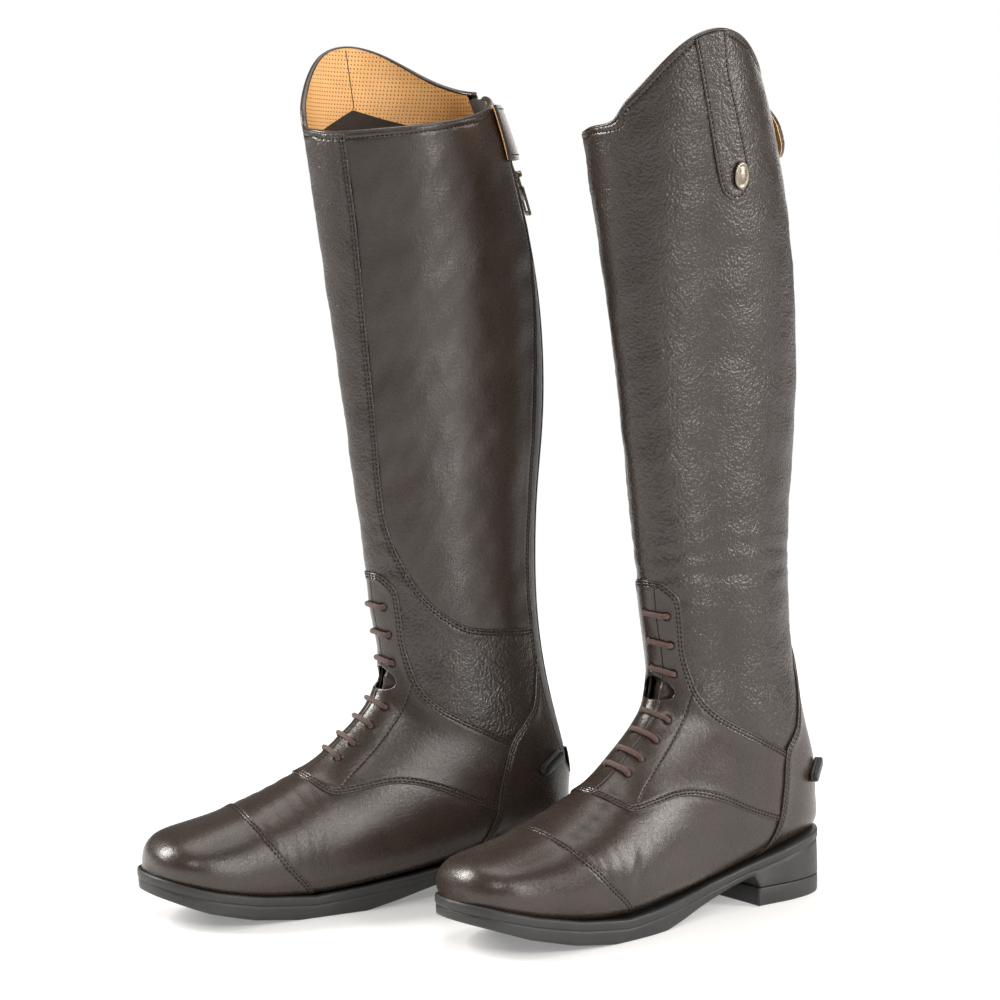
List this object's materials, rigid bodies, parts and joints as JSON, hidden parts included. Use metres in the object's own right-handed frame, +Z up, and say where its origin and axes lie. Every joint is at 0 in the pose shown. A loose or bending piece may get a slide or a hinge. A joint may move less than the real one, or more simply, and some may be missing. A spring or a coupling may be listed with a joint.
{
  "type": "pair of long riding boots",
  "caption": "Knee-high leather riding boots with back zips, snap tabs, elastic laces on the instep, spur rests and low rubber heels.",
  "frame": {"origin": "on the ground under the middle of the pair's bounding box", "axes": "+Z up along the shafts; the boots stand side by side with their toes pointing toward -X and -Y, the left boot on the +X side"},
  "size_m": [0.4262, 0.2306, 0.5302],
  "materials": {
    "smooth_leather": "semi-gloss smooth dark brown calf leather",
    "grained_leather": "satin pebbled dark brown leather",
    "tan_lining": "matt tan perforated lining leather",
    "dark_lining": "matt dark brown lining leather",
    "tongue_leather": "matt soft dark leather",
    "sole_rubber": "satin moulded charcoal rubber",
    "spur_rest_rubber": "satin black rubber",
    "elastic_cord": "woven elastic cord, reddish brown",
    "elastic_panel": "ribbed woven elastic, near black",
    "zip_fabric": "woven zip tape with moulded teeth, near black",
    "insole_board": "pressed cellulose board",
    "footbed_foam": "matt foam",
    "stiffener_plastic": "thermoplastic stiffener",
    "shank_steel": "plain spring steel",
    "dark_metal": "antiqued dark metal"
  },
  "bodies": {
    "left_boot": {"left_outsole": "sole_rubber", "left_heel_top_piece": "sole_rubber", "left_shank": "shank_steel", "left_insole_board": "insole_board", "left_footbed": "footbed_foam", "left_toe_puff": "stiffener_plastic", "left_heel_stiffener": "stiffener_plastic", "left_toe_cap": "smooth_leather", "left_vamp": "smooth_leather", "left_quarter_outer": "smooth_leather", "left_quarter_inner": "smooth_leather", "left_tongue": "tongue_leather", "left_upper_lace": "elastic_cord", "left_lower_lace": "elastic_cord", "left_shaft_panel": "grained_leather", "left_calf_guard": "smooth_leather", "left_counter_outer": "smooth_leather", "left_counter_inner": "smooth_leather", "left_elastic_gusset": "elastic_panel", "left_shaft_lining": "dark_lining", "left_collar_lining": "tan_lining", "left_pull_strip": "grained_leather", "left_badge": "dark_metal", "left_zip_tape": "zip_fabric", "left_press_stud": "dark_metal", "left_spur_rest_outer": "spur_rest_rubber", "left_spur_rest_inner": "spur_rest_rubber"},
    "left_zip_slider": {"left_zip_slider": "dark_metal"},
    "left_zip_puller": {"left_zip_puller": "dark_metal"},
    "left_snap_strap": {"left_snap_strap": "smooth_leather"},
    "right_boot": {"right_outsole": "sole_rubber", "right_heel_top_piece": "sole_rubber", "right_shank": "shank_steel", "right_insole_board": "insole_board", "right_footbed": "footbed_foam", "right_toe_puff": "stiffener_plastic", "right_heel_stiffener": "stiffener_plastic", "right_toe_cap": "smooth_leather", "right_vamp": "smooth_leather", "right_quarter_outer": "smooth_leather", "right_quarter_inner": "smooth_leather", "right_tongue": "tongue_leather", "right_upper_lace": "elastic_cord", "right_lower_lace": "elastic_cord", "right_shaft_panel": "grained_leather", "right_calf_guard": "smooth_leather", "right_counter_outer": "smooth_leather", "right_counter_inner": "smooth_leather", "right_elastic_gusset": "elastic_panel", "right_shaft_lining": "dark_lining", "right_collar_lining": "tan_lining", "right_pull_strip": "grained_leather", "right_badge": "dark_metal", "right_zip_tape": "zip_fabric", "right_press_stud": "dark_metal", "right_spur_rest_outer": "spur_rest_rubber", "right_spur_rest_inner": "spur_rest_rubber"},
    "right_zip_slider": {"right_zip_slider": "dark_metal"},
    "right_zip_puller": {"right_zip_puller": "dark_metal"},
    "right_snap_strap": {"right_snap_strap": "smooth_leather"}
  },
  "joints": [
    {"name": "right_boot_lift", "type": "slide", "parent": "left_boot", "child": "right_boot", "axis": [0, 0, 1], "range_m": [0, 0.55]},
    {"name": "left_zip_travel", "type": "hinge", "parent": "left_boot", "child": "left_zip_slider", "pos_m": [-0.1483, -0.20059, 0.316], "axis": [0.6239, -0.7815, 0], "range_deg": [-25, 0]},
    {"name": "left_zip_pull", "type": "hinge", "parent": "left_zip_slider", "child": "left_zip_puller", "pos_m": [0.17504, 0.05753, 0.45036], "axis": [0.6239, -0.7815, 0], "range_deg": [0, 95]},
    {"name": "left_snap_open", "type": "hinge", "parent": "left_boot", "child": "left_snap_strap", "pos_m": [0.13369, 0.06894, 0.47119], "axis": [-0.1979, -0.1722, 0.965], "range_deg": [0, 95]},
    {"name": "right_zip_travel", "type": "hinge", "parent": "right_boot", "child": "right_zip_slider", "pos_m": [-0.35459, -0.09992, 0.316], "axis": [0.4321, -0.9018, 0], "range_deg": [-25, 0]},
    {"name": "right_zip_pull", "type": "hinge", "parent": "right_zip_slider", "child": "right_zip_puller", "pos_m": [0.01852, 0.07885, 0.45036], "axis": [0.4321, -0.9018, 0], "range_deg": [0, 95]},
    {"name": "right_snap_open", "type": "hinge", "parent": "right_boot", "child": "right_snap_strap", "pos_m": [0.01079, 0.03665, 0.47119], "axis": [0.2412, 0.1033, -0.965], "range_deg": [0, 95]}
  ]
}
